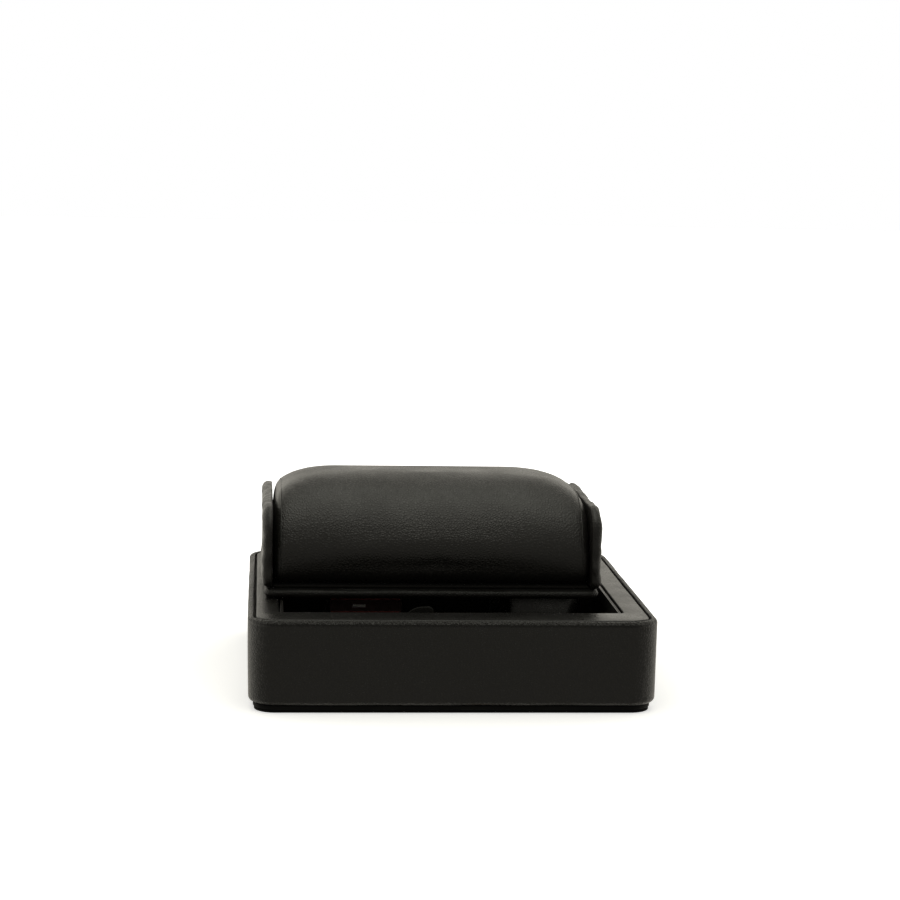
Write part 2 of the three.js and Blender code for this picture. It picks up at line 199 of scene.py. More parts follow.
class Nodes:
    """A small helper that adds nodes to one material and links them."""

    def __init__(self, name):
        self.material = bpy.data.materials.new(name)
        self.material.use_nodes = True
        self.tree = self.material.node_tree
        self.shader = self.tree.nodes["Principled BSDF"]
        coordinates = self.add("ShaderNodeTexCoord")
        self.place = coordinates.outputs["Object"]

    def add(self, kind, **settings):
        node = self.tree.nodes.new(kind)
        for key, value in settings.items():
            setattr(node, key, value)
        return node

    def link(self, source, socket):
        self.tree.links.new(source, socket)

    def noise(self, size_mm, detail=2.0, roughness=0.5, place=None):
        node = self.add("ShaderNodeTexNoise")
        node.inputs["Scale"].default_value = 1 / (size_mm * MM)
        node.inputs["Detail"].default_value = detail
        node.inputs["Roughness"].default_value = roughness
        self.link(place or self.place, node.inputs["Vector"])
        return node

    def ramp(self, source, low, high, low_value=0.0, high_value=1.0):
        node = self.add("ShaderNodeMapRange", interpolation_type="SMOOTHSTEP")
        node.inputs["From Min"].default_value = low
        node.inputs["From Max"].default_value = high
        node.inputs["To Min"].default_value = low_value
        node.inputs["To Max"].default_value = high_value
        self.link(source, node.inputs["Value"])
        return node.outputs["Result"]

    def maths(self, operation, first, second):
        node = self.add("ShaderNodeMath", operation=operation)
        for socket, value in zip(node.inputs, (first, second)):
            if isinstance(value, (int, float)):
                socket.default_value = value
            else:
                self.link(value, socket)
        return node.outputs[0]

    def mix_colour(self, factor, first, second):
        node = self.add("ShaderNodeMix", data_type="RGBA")
        self.link(factor, node.inputs["Factor"])
        node.inputs["A"].default_value = (*first, 1)
        node.inputs["B"].default_value = (*second, 1)
        self.link(node.outputs["Result"], self.shader.inputs["Base Color"])
        return node

    def bump(self, height, depth_mm, strength=1.0, before=None):
        node = self.add("ShaderNodeBump")
        node.inputs["Strength"].default_value = strength
        node.inputs["Distance"].default_value = depth_mm * MM
        self.link(height, node.inputs["Height"])
        if before:
            self.link(before, node.inputs["Normal"])
        self.link(node.outputs["Normal"], self.shader.inputs["Normal"])
        return node.outputs["Normal"]


BLACK_LEATHER = (0.0075, 0.0068, 0.0055)


def leather(name, pebble_mm, depth_mm, gloss, colour=BLACK_LEATHER, pleats_above=None, shine=0.5):
    """Black pebbled leather: creased cells over fine pores, with duller creases, painted shade darkening the
    creases, and worn high spots.

    Above the height pleats_above, where it bends over an edge, the grain opens into short upright pleats."""
    nodes = Nodes(name)
    wander = nodes.noise(2.2 * pebble_mm)
    push = nodes.add("ShaderNodeVectorMath", operation="MULTIPLY_ADD")
    push.inputs[1].default_value = [0.7 * pebble_mm * MM] * 3
    nodes.link(wander.outputs["Color"], push.inputs[0])
    nodes.link(nodes.place, push.inputs[2])
    cells = nodes.add("ShaderNodeTexVoronoi", feature="DISTANCE_TO_EDGE")
    cells.inputs["Scale"].default_value = 1 / (pebble_mm * MM)
    nodes.link(push.outputs["Vector"], cells.inputs["Vector"])
    pebbles = nodes.ramp(cells.outputs["Distance"], 0.0, 0.32)
    pores = nodes.noise(0.22 * pebble_mm, roughness=0.6)
    height = nodes.maths("MULTIPLY_ADD", pores.outputs["Fac"], 0.25)
    nodes.link(pebbles, height.node.inputs[2])
    drape = nodes.noise(size_mm=9)
    rolling = nodes.bump(drape.outputs["Fac"], depth_mm=0.12, strength=0.5)
    if pleats_above is not None:
        squeeze = nodes.add("ShaderNodeVectorMath", operation="MULTIPLY")
        squeeze.inputs[1].default_value = (1, 1, 0.3)
        nodes.link(nodes.place, squeeze.inputs[0])
        folds = nodes.noise(size_mm=0.75, roughness=0.6, place=squeeze.outputs["Vector"])
        split = nodes.add("ShaderNodeSeparateXYZ")
        nodes.link(nodes.place, split.inputs["Vector"])
        bend = nodes.ramp(split.outputs["Z"], pleats_above - 0.4 * MM, pleats_above + 0.5 * MM)
        pleats = nodes.maths("MULTIPLY", folds.outputs["Fac"], bend)
        rolling = nodes.bump(pleats, depth_mm=1.9, before=rolling)
    nodes.bump(height, depth_mm, before=rolling)
    patches = nodes.noise(size_mm=14, detail=3)
    rough = nodes.ramp(patches.outputs["Fac"], 0.3, 0.7, gloss - 0.04, gloss + 0.05)
    creased = nodes.maths("MULTIPLY_ADD", pebbles, -0.10)
    nodes.link(nodes.maths("ADD", rough, 0.08), creased.node.inputs[2])
    nodes.link(creased, nodes.shader.inputs["Roughness"])
    # painted shade: the colour darkens towards the creases between the pebbles
    dark = tuple(0.55 * value for value in colour)
    nodes.mix_colour(pebbles, dark, colour)
    nodes.shader.inputs["Specular IOR Level"].default_value = shine
    nodes.shader.inputs["Sheen Weight"].default_value = 0.01
    nodes.shader.inputs["Sheen Roughness"].default_value = 0.5
    return nodes.material


def cloth(name, colour, fibre_mm=0.25, depth_mm=0.05, sheen=0.12):
    """Napped cloth: suede, velvet or felt, with short fibres and brushed patches."""
    nodes = Nodes(name)
    fibres = nodes.noise(fibre_mm, detail=4, roughness=0.75)
    brushed = nodes.noise(size_mm=7, detail=3)
    shade = nodes.maths("MULTIPLY", fibres.outputs["Fac"], brushed.outputs["Fac"])
    light = tuple(1.9 * value for value in colour)
    nodes.mix_colour(nodes.ramp(shade, 0.12, 0.42), colour, light)
    nodes.bump(fibres.outputs["Fac"], depth_mm)
    nodes.shader.inputs["Roughness"].default_value = 0.95
    nodes.shader.inputs["Specular IOR Level"].default_value = 0.15
    nodes.shader.inputs["Sheen Weight"].default_value = sheen
    nodes.shader.inputs["Sheen Roughness"].default_value = 0.6
    return nodes.material


def board(name, dark, light, speck_mm=0.5, roughness=0.85):
    """Pressed board: specks of fibre and a faintly uneven face."""
    nodes = Nodes(name)
    specks = nodes.noise(speck_mm, detail=5, roughness=0.7)
    nodes.mix_colour(nodes.ramp(specks.outputs["Fac"], 0.3, 0.7), dark, light)
    nodes.bump(specks.outputs["Fac"], depth_mm=0.05)
    clouds = nodes.noise(size_mm=11)
    rough = nodes.ramp(clouds.outputs["Fac"], 0.3, 0.7, roughness - 0.08, roughness + 0.08)
    nodes.link(rough, nodes.shader.inputs["Roughness"])
    return nodes.material


def ribbon(name, dark, light, rib_mm=0.32):
    """Woven ribbon: fine upright ribs crossed by weft threads, with painted shade darkening the gaps between
    them.
    """
    nodes = Nodes(name)
    ribs = nodes.add("ShaderNodeTexWave", wave_type="BANDS", bands_direction="X")
    ribs.inputs["Scale"].default_value = BAND_SCALE / (rib_mm * MM)
    ribs.inputs["Distortion"].default_value = 0.4
    nodes.link(nodes.place, ribs.inputs["Vector"])
    weft = nodes.add("ShaderNodeTexWave", wave_type="BANDS", bands_direction="Z")
    weft.inputs["Scale"].default_value = BAND_SCALE / (0.8 * rib_mm * MM)
    nodes.link(nodes.place, weft.inputs["Vector"])
    # painted shade: the colour darkens where the ribs and the weft dip, in the gaps between threads
    weave = nodes.maths("MULTIPLY", ribs.outputs["Fac"], weft.outputs["Fac"])
    nodes.mix_colour(weave, dark, light)
    nodes.bump(weave, depth_mm=0.08)
    nodes.shader.inputs["Roughness"].default_value = 0.7
    nodes.shader.inputs["Sheen Weight"].default_value = 0.3
    return nodes.material


def thread(name, colour, turn_mm=0.18):
    """Twisted sewing thread, with painted shade darkening the grooves of its twist."""
    nodes = Nodes(name)
    twist = nodes.add("ShaderNodeTexWave", wave_type="BANDS", bands_direction="DIAGONAL")
    twist.inputs["Scale"].default_value = BAND_SCALE / (turn_mm * MM)
    nodes.link(nodes.place, twist.inputs["Vector"])
    # painted shade: the colour darkens in the grooves between the turns of the twist
    dark = tuple(0.5 * value for value in colour)
    nodes.mix_colour(twist.outputs["Fac"], dark, colour)
    nodes.bump(twist.outputs["Fac"], depth_mm=0.05)
    nodes.shader.inputs["Roughness"].default_value = 0.5
    return nodes.material


# ---------------------------------------------------------------- mesh helpers

def corner_box(node):
    low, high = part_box(node)
    return Vector(low), Vector(high)


def around(half_a, half_b, radii, inset, counts):
    """Points round a rectangle with round corners, moved in by inset.

    radii is one radius or four, and counts are the steps of the straights along each axis."""
    radii = [radii] * 4 if isinstance(radii, (int, float)) else radii
    signs = [(-1, -1), (1, -1), (1, 1), (-1, 1)]
    points = []
    ends = []
    for k, (sa, sb) in enumerate(signs):
        radius = max(radii[k] - inset, 0.15 * MM)
        centre = (sa * (half_a - inset - radius), sb * (half_b - inset - radius))
        start = math.pi + k * math.pi / 2
        arc = [start + (math.pi / 2) * i / ARC_STEPS for i in range(ARC_STEPS + 1)]
        ends.append([(centre[0] + radius * math.cos(t), centre[1] + radius * math.sin(t)) for t in arc])
    for k in range(4):
        points += ends[k]
        first = ends[k][-1]
        last = ends[(k + 1) % 4][0]
        for i in range(1, counts[k % 2]):
            share = i / counts[k % 2]
            points.append((first[0] + share * (last[0] - first[0]), first[1] + share * (last[1] - first[1])))
    return points


def steps_along(half_a, half_b, step):
    return max(int(2 * half_a / step), 2), max(int(2 * half_b / step), 2)


def loft(name, half_a, half_b, radii, rings, place, closed, step=2.5 * MM):
    """A mesh through rings (inset, height) round the outline.

    closed joins the last ring to the first. Otherwise both ends are capped."""
    vertices = []
    counts = steps_along(half_a, half_b, step)
    for inset, height in rings:
        vertices += [place(a, b, height) for a, b in around(half_a, half_b, radii, inset, counts)]
    count = len(vertices) // len(rings)
    faces = []
    last = len(rings) if closed else len(rings) - 1
    for ring in range(last):
        lower = ring * count
        upper = ((ring + 1) % len(rings)) * count
        for i in range(count):
            j = (i + 1) % count
            faces.append((lower + i, lower + j, upper + j, upper + i))
    if not closed:
        faces.append(tuple(reversed(range(count))))
        faces.append(tuple(range(last * count, last * count + count)))
    mesh = bpy.data.meshes.new(name)
    mesh.from_pydata(vertices, [], faces)
    return finish_mesh(name, mesh)


def finish_mesh(name, mesh):
    tools = bmesh.new()
    tools.from_mesh(mesh)
    bmesh.ops.recalc_face_normals(tools, faces=tools.faces)
    tools.to_mesh(mesh)
    tools.free()
    mesh.shade_smooth()
    piece = bpy.data.objects.new(name, mesh)
    bpy.context.scene.collection.objects.link(piece)
    return piece


def arc_rings(inset, height, radius, start, end, steps=6):
    """Ring positions on an arc, its centre at (inset, height); angle 0 points outwards, 90 up."""
    rings = []
    for i in range(steps + 1):
        angle = math.radians(start + (end - start) * i / steps)
        rings.append((inset - radius * math.cos(angle), height + radius * math.sin(angle)))
    return rings


def wobble(piece, depth_mm, size_mm, seed, weight=None):
    """Moves each vertex along its normal by smooth noise, so that nothing is ruler-straight."""
    mesh = piece.data
    normals = [vertex.normal.copy() for vertex in mesh.vertices]
    for vertex, normal in zip(mesh.vertices, normals):
        spot = vertex.co / (size_mm * MM) + Vector((seed, 2 * seed, 3 * seed))
        share = weight(vertex.co) if weight else 1
        vertex.co += normal * (share * depth_mm * MM * noise.noise(spot))


def dress(piece, body, slot, material, *nodes):
    piece.data.materials.clear()
    piece.data.materials.append(material)
    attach(piece, body)
    if nodes:
        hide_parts(*nodes)


def sharpen(piece, degrees=60):
    """Smooth shading that keeps the folds sharper than the given angle."""
    tools = bmesh.new()
    tools.from_mesh(piece.data)
    for edge in tools.edges:
        if len(edge.link_faces) == 2 and edge.calc_face_angle(0) > math.radians(degrees):
            edge.smooth = False
    tools.to_mesh(piece.data)
    tools.free()


# ---------------------------------------------------------------- base

def upright(x0, y0):
    return lambda a, b, h: (x0 + a, y0 + b, h)


def make_shell(material):
    low, high = corner_box("outer_leather")
    half = (high.x - low.x) / 2
    corner = 8.5 * MM
    lean = 0.25 * MM             # the wall leans in towards its foot
    roll = 1.3 * MM              # round of the leather over the rim
    rim = 1.8 * MM
    foot = 1.5 * MM
    skin = 0.45 * MM
    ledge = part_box("collar_leather")[0][2]
    turn_under = 9 * MM
    hollow = 0.05 * MM           # the wall is drawn in this much halfway up
    inner_roll = 0.45 * MM       # round of the leather on the rim's inner edge
    rings = [(turn_under, low.z)]
    rings += arc_rings(lean + foot, low.z + foot, foot, -90, 0, 5)
    wall = 10
    for i in range(1, wall):
        share = i / wall
        height = low.z + foot + share * (high.z - roll - low.z - foot)
        rings.append((lean * (1 - share) - hollow * math.sin(math.pi * share), height))
    rings += arc_rings(roll, high.z - roll, roll, 0, 90, 8)
    rings += arc_rings(rim - inner_roll, high.z - inner_roll, inner_roll, 90, 180, 5)
    hem = 4.3 * MM               # thin leather turned in over the ledge
    hem_top = ledge - 0.12 * MM
    hem_foot = ledge - 0.25 * MM
    rings.append((rim, hem_top))
    rings.append((hem, hem_top))
    rings.append((hem, hem_foot))
    rings.append((rim - skin, hem_foot))
    rings.append((rim - skin, high.z - 2 * skin))
    rings.append((skin, high.z - 2 * skin))
    rings.append((lean + skin, low.z + skin))
    rings.append((turn_under, low.z + skin))
    shell = loft("shell_leather", half, half, corner, rings, upright(0, 0), True)
    wobble(shell, depth_mm=0.12, size_mm=16, seed=3.1)
    dress(shell, "base", "leather", material, "outer_leather")


def make_foot(board_material, felt_material):
    """The recessed foot: a painted board and the felt under it.

    Each row is a piece, its node, slot, material, corner, edge rounding and the steps of that rounding."""
    layers = (
        ("plinth", "plinth_board", "painted_board", board_material, 6.8 * MM, 0.35 * MM, 4),
        ("felt_foot", "felt_pad", "felt", felt_material, 6.2 * MM, 0.25 * MM, 3),
    )
    for name, node, slot, material, corner, edge, steps in layers:
        low, high = corner_box(node)
        half = (high.x - low.x) / 2
        rings = arc_rings(edge, low.z + edge, edge, -90, 0, steps)
        rings += arc_rings(edge, high.z - edge, edge, 0, 90, steps)
        layer = loft(name, half, half, corner, rings, upright(0, 0), False)
        sharpen(layer)
        dress(layer, "base", slot, material, node)


# ---------------------------------------------------------------- tray

def make_collar(material):
    """The leather on the frame round the recess: a flat top between an outer and an inner rounded edge."""
    low, high = corner_box("collar_leather")
    half = (high.x - low.x) / 2
    reveal = 0.6 * MM            # how far the liners show inside the opening
    opening_x = half - abs(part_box("liner_left")[1][0]) - reveal
    opening_y = half - abs(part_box("liner_front")[1][1]) - reveal
    edge = 0.55 * MM
    inner = 0.4 * MM
    vertices = []
    faces = []
    rows = []
    outer = [(0, low.z)] + arc_rings(edge, high.z - edge, edge, 0, 90, 5)
    for inset, height in outer:
        rows.append([(a, b, height) for a, b in around(half, half, 6.1 * MM, inset, (46, 46))])
    hole_half_x = half - opening_x
    hole_half_y = half - opening_y
    hole = [(-inner, high.z)] + [(-inner + inner * math.sin(t), high.z - inner + inner * math.cos(t))
                                 for t in (0.4, 0.8, 1.2, math.pi / 2)] + [(0, low.z)]
    for inset, height in hole:
        ring = around(hole_half_x, hole_half_y, 0.9 * MM, inset, (40, 36))
        rows.append([(a, b, height) for a, b in ring])
    # The two outlines have different counts of points, so each is spread to the same count.
    count = 360
    rows = [resample(row, count) for row in rows]
    for row in rows:
        vertices += row
    for r in range(len(rows) - 1):
        for i in range(count):
            j = (i + 1) % count
            faces.append((r * count + i, r * count + j, (r + 1) * count + j, (r + 1) * count + i))
    last = (len(rows) - 1) * count
    for i in range(count):
        j = (i + 1) % count
        faces.append((last + i, last + j, j, i))
    mesh = bpy.data.meshes.new("collar_wrap")
    mesh.from_pydata(vertices, [], faces)
    collar = finish_mesh("collar_wrap", mesh)

    def on_top(spot):
        return 1 if spot.z > high.z - edge else 0

    wobble(collar, depth_mm=0.10, size_mm=14, seed=5.3, weight=on_top)
    sharpen(collar)
    dress(collar, "tray", "leather", material, "collar_leather")


def resample(points, count):
    """The same closed outline with count points, matched by the angle round its middle."""
    result = []
    angles = [math.atan2(p[1], p[0]) for p in points]
    order = sorted(range(len(points)), key=lambda k: angles[k])
    turned = [points[k] for k in order]
    sorted_angles = [angles[k] for k in order]
    for i in range(count):
        goal = -math.pi + 2 * math.pi * (i + 0.5) / count
        after = next((k for k, angle in enumerate(sorted_angles) if angle >= goal), 0)
        first = Vector(turned[after - 1])
        second = Vector(turned[after])
        low = sorted_angles[after - 1]
        high = sorted_angles[after]
        span = (high - low) % (2 * math.pi)
        share = ((goal - low) % (2 * math.pi)) / span if span else 0
        result.append(tuple(first.lerp(second, share)))
    return result


def soft_block(name, low, high, corner, edge, step=3 * MM):
    """A board or block seen from above as a rounded rectangle, its top and bottom edges rounded."""
    middle = (low + high) / 2
    half_x = (high.x - low.x) / 2
    half_y = (high.y - low.y) / 2
    shelf = min(edge + 0.8 * MM, 0.45 * min(high.x - low.x, high.y - low.y))
    rings = [(shelf, low.z)] + arc_rings(edge, low.z + edge, edge, -90, 0, 4)
    rings += arc_rings(edge, high.z - edge, edge, 0, 90, 5) + [(shelf, high.z)]
    return loft(name, half_x, half_y, corner, rings, upright(middle.x, middle.y), False, step)


def make_liners(material, hem_material):
    """The recess's leather walls, each with a folded hem that stands just below the collar's top."""
    hem = 0.85 * MM              # thickness of the fold
    hem_depth = 3 * MM
    thickness = 1.5 * MM         # of a liner
    sewn_in = 0.02 * MM          # how far the fold reaches into its liner
    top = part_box("collar_leather")[1][2] - 0.35 * MM

    def near_top(spot):
        return 1 if spot.z > top - 1 * MM else 0

    tab_low, tab_high = corner_box("pull_tab")
    for side in ("front", "back", "left", "right"):
        low, high = corner_box(f"liner_{side}")
        liner = soft_block(f"liner_{side}_skin", low, high, 0.3 * MM, 0.3 * MM)
        dress(liner, "tray", "leather_dark", material, f"liner_{side}")
        foot = Vector((low.x, low.y, high.z - hem_depth))
        crest = Vector((high.x, high.y, top))
        inset = thickness + hem
        if side in ("front", "back"):
            foot.x += inset
            crest.x -= inset
        if side == "front":
            foot.y, crest.y = high.y - sewn_in, high.y + hem
        elif side == "back":
            foot.y, crest.y = low.y - hem, low.y + sewn_in
        elif side == "left":
            foot.x, crest.x = high.x - sewn_in, high.x + hem
        else:
            foot.x, crest.x = low.x - hem, low.x + sewn_in
        stretches = [(foot, crest)]
        if side == "front":
            gap = 0.3 * MM
            stretches = [(foot, Vector((tab_low.x - gap, crest.y, crest.z))),
                         (Vector((tab_high.x + gap, foot.y, foot.z)), crest)]
        for k, (start, end) in enumerate(stretches):
            fold = soft_block(f"liner_{side}_hem_{k + 1}", start, end, 0.3 * MM, 0.16 * MM)
            wobble(fold, depth_mm=0.05, size_mm=6, seed=9.3, weight=near_top)
            dress(fold, "tray", "leather_dark", hem_material)


def make_floor_lining(material):
    low, high = corner_box("floor_lining")
    pad = soft_block("floor_suede", low, high, 0.6 * MM, 0.25 * MM)
    dress(pad, "tray", "suede", material, "floor_lining")


RISER_LEAN = math.tan(math.radians(10.5))    # the risers' fronts slope back as they rise


def make_risers(material):
    for side in ("left", "right"):
        low, high = corner_box(f"riser_{side}_leather")
        riser = soft_block(f"riser_{side}_wrap", low, high, corner=5.0 * MM, edge=1.2 * MM, step=2 * MM)
        middle_y = (low.y + high.y) / 2
        for vertex in riser.data.vertices:
            frontness = max(middle_y - vertex.co.y, 0) / (middle_y - low.y)
            vertex.co.y += frontness * RISER_LEAN * (vertex.co.z - low.z)
        dress(riser, "tray", "leather_dark", material, f"riser_{side}_leather", f"riser_{side}_core")


def make_label(cloth_material, stripe_material, thread_material):
    """A blank woven label with two lighter red stripes across it, held by one plain bar of silver stitches.
    """
    low, high = corner_box("riser_label")
    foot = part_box("riser_left_leather")[0][2]
    half_x = (high.x - low.x) / 2
    half_z = (high.z - low.z) / 2
    middle = (low + high) / 2
    thick = high.y - low.y

    def on_slope(x, out, z):
        return (x, high.y - out + RISER_LEAN * (z - foot), z)

    edge = 0.14 * MM
    rings = [(0, 0)] + arc_rings(edge, thick - edge, edge, 0, 90, 3) + [(0.8 * MM, 0.75 * thick)]
    label = loft("riser_ribbon", half_x, half_z, 0.4 * MM, rings,
                 lambda a, b, h: on_slope(middle.x + a, h, middle.z + b), False, 1 * MM)
    dress(label, "tray", "label_cloth", cloth_material, "riser_label")

    band = 0.22 * MM             # half height of a lighter stripe
    stripes = [high.z - 0.5 * MM, high.z - 4.3 * MM]
    rings = [(0, 0.5 * thick)] + arc_rings(0.1 * MM, thick, 0.1 * MM, 0, 90, 3)
    for k, z in enumerate(stripes):
        stripe = loft(f"label_stripe_{k + 1}", half_x - 0.3 * MM, band, 0.15 * MM, rings,
                      lambda a, b, h: on_slope(middle.x + a, h, z + b), False, 1 * MM)
        dress(stripe, "tray", "label_cloth", stripe_material)

    stitches = []
    tack_x = middle.x - 3.9 * MM
    tack_z = high.z - 2.9 * MM
    tack_height = 0.9 * MM
    stitch_spacing = 0.36 * MM
    for i in range(11):
        x = tack_x + stitch_spacing * i
        foot_end = on_slope(x, thick, tack_z)
        top_end = on_slope(x, thick, tack_z + tack_height)
        stitches.append((foot_end, top_end, (0, -1, 0)))
    tack = stitch_piece("label_stitches", stitches, 0.19 * MM)
    dress(tack, "tray", "label_cloth", thread_material)


def stitch_piece(name, stitches, radius):
    """Short humped stitches, each (start, end, outward direction), as one mesh of small round tubes."""
    vertices = []
    faces = []
    sides = 6
    steps = 5
    for start, end, out in stitches:
        start = Vector(start)
        end = Vector(end)
        away = Vector(out)
        along = (end - start).normalized()
        across = along.cross(away).normalized()
        first = len(vertices)
        for i in range(steps + 1):
            share = i / steps
            rise = radius * (1.4 * math.sin(math.pi * share) - 0.3)
            centre = start.lerp(end, share) + away * rise
            for k in range(sides):
                angle = 2 * math.pi * k / sides
                vertices.append(centre + radius * (math.cos(angle) * across + math.sin(angle) * away))
        for i in range(steps):
            for k in range(sides):
                m = (k + 1) % sides
                low = first + i * sides
                faces.append((low + k, low + m, low + sides + m, low + sides + k))
        faces.append(tuple(first + k for k in reversed(range(sides))))
        faces.append(tuple(first + steps * sides + k for k in range(sides)))
    mesh = bpy.data.meshes.new(name)
    mesh.from_pydata([tuple(v) for v in vertices], [], faces)
    return finish_mesh(name, mesh)


def make_tab(material):
    """The pull tab: a folded strip whose top edge is a soft loop."""
    low, high = corner_box("pull_tab")
    half_x = (high.x - low.x) / 2
    half_z = (high.z - low.z) / 2
    middle = (low + high) / 2

    def place(a, b, h):
        return (middle.x + a, low.y + h, middle.z + b)

    thick = high.y - low.y
    edge = 0.38 * MM
    flat = 1.2 * MM              # where the strip's flat faces start
    rings = [(flat, 0)] + arc_rings(edge, edge, edge, -90, 0, 4)
    rings += arc_rings(edge, thick - edge, edge, 0, 90, 4) + [(flat, thick)]
    radii = (0.6 * MM, 0.6 * MM, 1.6 * MM, 5.5 * MM)
    tab = loft("tab_leather", half_x, half_z, radii, rings, place, False, 1 * MM)
    wobble(tab, depth_mm=0.25, size_mm=5, seed=8.8)
    dress(tab, "tray", "leather", material, "pull_tab")


# ---------------------------------------------------------------- cradle

def make_cradle_board(material, lining_material):
    low, high = corner_box("cradle_leather")
    wrap = soft_block("cradle_wrap", low, high, corner=4 * MM, edge=1.05 * MM, step=2 * MM)
    wobble(wrap, depth_mm=0.28, size_mm=11, seed=2.2)
    dress(wrap, "cradle", "leather", material, "cradle_leather", "cradle_board")
    low, high = corner_box("cradle_lining")
    lining = soft_block("cradle_suede", low, high, 1 * MM, 0.2 * MM)
    dress(lining, "cradle", "suede", lining_material, "cradle_lining")


def make_cheeks(material):
    """The two upright sides, creased near their edges where the leather is folded over."""
    for k, side in enumerate(("left", "right")):
        low, high = corner_box(f"cheek_{side}_leather")
        half_y = (high.y - low.y) / 2
        half_z = (high.z - low.z) / 2
        middle = (low + high) / 2

        def place(a, b, h):
            return (low.x + h, middle.y + a, middle.z + b)

        thick = high.x - low.x
        padded = 2.2 * MM            # the outer edge is full, the one by the cushion is folded tight
        tight = 0.8 * MM
        near, far = (padded, tight) if side == "left" else (tight, padded)
        margins = (1 * MM, 4 * MM)   # two rings on each flat face, from the end of its rounding
        rings = [(near + margins[1], 0), (near + margins[0], 0)] + arc_rings(near, near, near, -90, 0, 7)
        rings += arc_rings(far, thick - far, far, 0, 90, 7)
        rings += [(far + margins[0], thick), (far + margins[1], thick)]
        foot_corner = 2.6 * MM
        top_corner = 8 * MM
        radii = (foot_corner, foot_corner, top_corner, top_corner)
        fade = 3 * MM                # the creases die out over this width
        cheek = loft(f"cheek_{side}_wrap", half_y, half_z, radii, rings, place, False, 1.5 * MM)
        inner_face = high.x if side == "left" else low.x

        def creased(spot):
            """Full near the cheek's outline, none on its flat middle or against the cushion."""
            margin = min(half_y - abs(spot.y - middle.y), half_z - abs(spot.z - middle.z))
            at_edge = min(max((padded + fade - margin) / fade, 0), 1)
            return at_edge * min(abs(spot.x - inner_face) / tight, 1)

        wobble(cheek, depth_mm=0.45, size_mm=8, seed=4.4 + 3 * k, weight=creased)
        wobble(cheek, depth_mm=0.40, size_mm=3.0, seed=6.1 + 3 * k, weight=creased)
        dress(cheek, "cradle", "leather", material, f"cheek_{side}_leather", f"cheek_{side}_board")


# ---------------------------------------------------------------- cushion

SWELL = 1.2 * MM            # how much smaller the sewn form starts, before it is blown up
SINK = 0.05 * MM            # and how far its surface may be drawn in
SNUG = 0.15 * MM            # how much smaller it starts where it lies against the cheeks and the lining
# Each of these is how far in from an end it starts, and how far it goes at that end.
LEFT_SHOULDER = (18.5 * MM, 8.8 * MM)    # the crown's drop
RIGHT_SHOULDER = (22 * MM, 9.8 * MM)
TUCK = (2.4 * MM, 1.5 * MM)              # the whole section drawn in, where the end panels are sewn on
CROWN_ROUND = 23 * MM                    # largest rounding of a section's top corners
UNDER_ROUND = 4.5 * MM                   # and of its bottom corners


def end_drop(distance, reach, fall):
    """How far the crown has come down at a distance from the cushion's end."""
    if distance >= reach:
        return 0
    share = 1 - max(distance, 0) / reach
    return fall * (1 - math.sqrt(max(1 - share * share, 0)))


def cushion_form(name, low, high):
    """The sewn form: slices along the width, each a rounded outline that shrinks at the ends."""
    length = high.x - low.x
    count = 72
    vertices = []
    ring = 0
    middle_y = (low.y + high.y) / 2
    for i in range(count + 1):
        angle = math.pi * i / count
        x = low.x + length * (0.5 - 0.5 * math.cos(angle))
        left = x - low.x
        right = high.x - x
        tuck = end_drop(left, *TUCK) + end_drop(right, *TUCK)
        top = high.z - end_drop(left, *LEFT_SHOULDER) - end_drop(right, *RIGHT_SHOULDER)
        half_z = (top - low.z) / 2 - 0.45 * tuck
        half_y = (high.y - low.y) / 2 - tuck
        middle_z = low.z + (top - low.z) / 2
        crown = min(CROWN_ROUND, 1.5 * half_z, 0.95 * half_y)
        under = min(UNDER_ROUND, 0.45 * half_z)
        outline = around(half_y, half_z, (under, under, crown, crown), 0, (20, 8))
        ring = len(outline)
        vertices += [(x, middle_y + a, middle_z + b) for a, b in outline]
    faces = []
    for i in range(count):
        for k in range(ring):
            m = (k + 1) % ring
            faces.append((i * ring + k, i * ring + m, (i + 1) * ring + m, (i + 1) * ring + k))
    faces.append(tuple(reversed(range(ring))))
    faces.append(tuple(range(count * ring, count * ring + ring)))
    mesh = bpy.data.meshes.new(name)
    mesh.from_pydata(vertices, [], faces)
    return finish_mesh(name, mesh)


def apply_modifiers(piece):
    graph = bpy.context.evaluated_depsgraph_get()
    mesh = bpy.data.meshes.new_from_object(piece.evaluated_get(graph))
    piece.modifiers.clear()
    old = piece.data
    piece.data = mesh
    bpy.data.meshes.remove(old)


def blow_up(piece, pressure, cap):
    """Blows the form up as cloth. No point moves further than cap, or sinks in by more than SINK."""
    cloth_modifier = piece.modifiers.new("cloth", "CLOTH")
    settings = cloth_modifier.settings
    settings.use_pressure = True
    settings.uniform_pressure_force = pressure
    settings.effector_weights.gravity = 0
    settings.mass = 0.2
    settings.tension_stiffness = 30
    settings.compression_stiffness = 30
    settings.bending_stiffness = 0.6
    cloth_modifier.point_cache.frame_start = 1
    cloth_modifier.point_cache.frame_end = BLOW_STEPS
    start = [(vertex.co.copy(), vertex.normal.copy()) for vertex in piece.data.vertices]
    scene = bpy.context.scene
    for step in range(1, BLOW_STEPS + 1):
        scene.frame_set(step)
    apply_modifiers(piece)
    for vertex, (place, normal) in zip(piece.data.vertices, start):
        move = vertex.co - place
        outward = move.dot(normal)
        if outward < -SINK:
            move -= (outward + SINK) * normal
        if move.length > cap:
            move = move.normalized() * cap
        vertex.co = place + move
    scene.frame_set(1)


